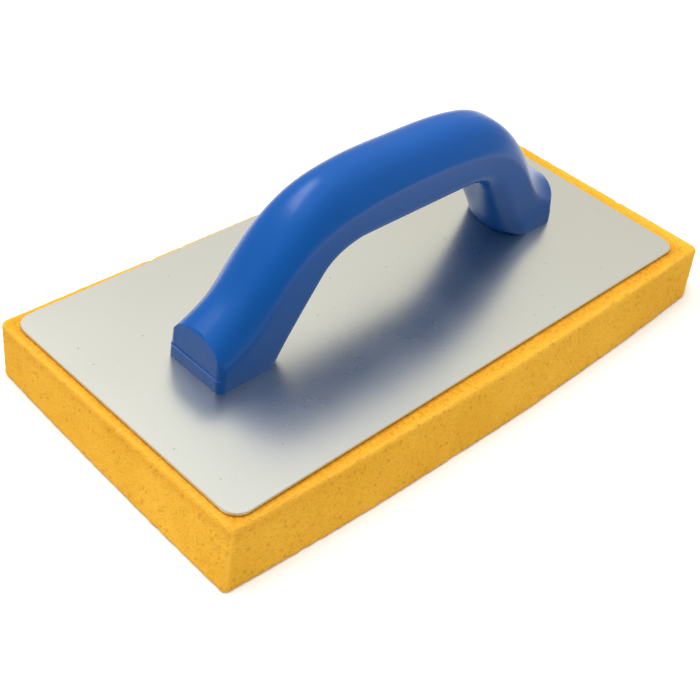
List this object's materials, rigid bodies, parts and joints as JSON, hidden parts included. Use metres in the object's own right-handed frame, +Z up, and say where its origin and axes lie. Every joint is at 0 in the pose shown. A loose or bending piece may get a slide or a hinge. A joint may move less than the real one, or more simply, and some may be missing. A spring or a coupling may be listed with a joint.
{
  "type": "grout float",
  "caption": "Hand float for grouting tiles: thick foam pad glued under a thin metal plate, with a bow-shaped plastic handle screwed along the middle.",
  "frame": {"origin": "middle of the bottom of the whole part's box: the middle of the foam pad's working face, which rests on the floor or tiles", "axes": "+X along the tool's length, +Y across it, +Z up from the working face towards the handle"},
  "size_m": [0.254, 0.127, 0.0823],
  "materials": {
    "foam": "open-cell polyurethane foam, yellow-orange, cut faces",
    "contact_adhesive": "dried contact adhesive film",
    "sheet_metal": "satin sheet metal with fine specks and light scratches",
    "handle_plastic": "semi-gloss moulded plastic, blue",
    "screw_steel": "zinc-plated steel"
  },
  "bodies": {
    "root": {"sponge_pad": "foam", "adhesive_layer": "contact_adhesive", "backing_plate": "sheet_metal", "handle": "handle_plastic", "front_screw": "screw_steel", "rear_screw": "screw_steel"}
  },
  "joints": []
}
